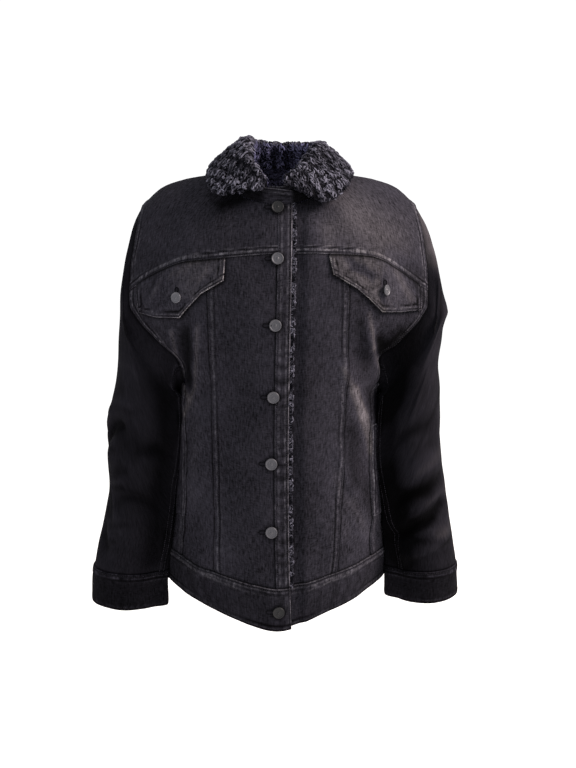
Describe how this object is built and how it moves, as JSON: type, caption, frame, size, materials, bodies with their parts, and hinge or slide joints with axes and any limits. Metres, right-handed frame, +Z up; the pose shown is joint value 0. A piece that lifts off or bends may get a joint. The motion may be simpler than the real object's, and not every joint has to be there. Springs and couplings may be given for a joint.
{
  "type": "denim jacket",
  "caption": "Hip-length denim jacket lined with sherpa, with a rolled sherpa collar, yoked front, flapped chest pockets and set-in sleeves, filled out as if worn.",
  "frame": {"origin": "midway between the high points of the two shoulder seams, at the height of the shoulders' neck end, where the wearer's shoulders hold it", "axes": "+Z up, -Y the way the front faces, +X the wearer's left"},
  "size_m": [0.563, 0.2907, 0.7057],
  "materials": {
    "denim": "washed black denim, matte, with worn lighter edges",
    "sherpa": "black curly sherpa fleece, matte",
    "button_metal": "matte gunmetal"
  },
  "bodies": {
    "root": {"back_centre": "denim", "back_side_L": "denim", "back_side_R": "denim", "button_1": "button_metal", "button_2": "button_metal", "button_3": "button_metal", "button_4": "button_metal", "button_5": "button_metal", "button_6": "button_metal", "button_7": "button_metal", "centre_front_L": "denim", "centre_front_R": "denim", "collar": "sherpa", "collar_stand": "denim", "cuff_L": "denim", "cuff_R": "denim", "flap_L": "denim", "flap_R": "denim", "flap_button_L": "button_metal", "flap_button_R": "button_metal", "placket_R": "denim", "sherpa_edge": "sherpa", "side_front_L": "denim", "side_front_R": "denim", "side_panel_L": "denim", "side_panel_R": "denim", "sleeve_under_L": "denim", "sleeve_under_R": "denim", "sleeve_upper_L": "denim", "sleeve_upper_R": "denim", "waistband_back": "denim", "waistband_front_L": "denim", "waistband_front_R": "denim", "welt_L": "denim", "welt_R": "denim", "yoke_back": "denim", "yoke_front_L": "denim", "yoke_front_R": "denim"}
  },
  "joints": []
}
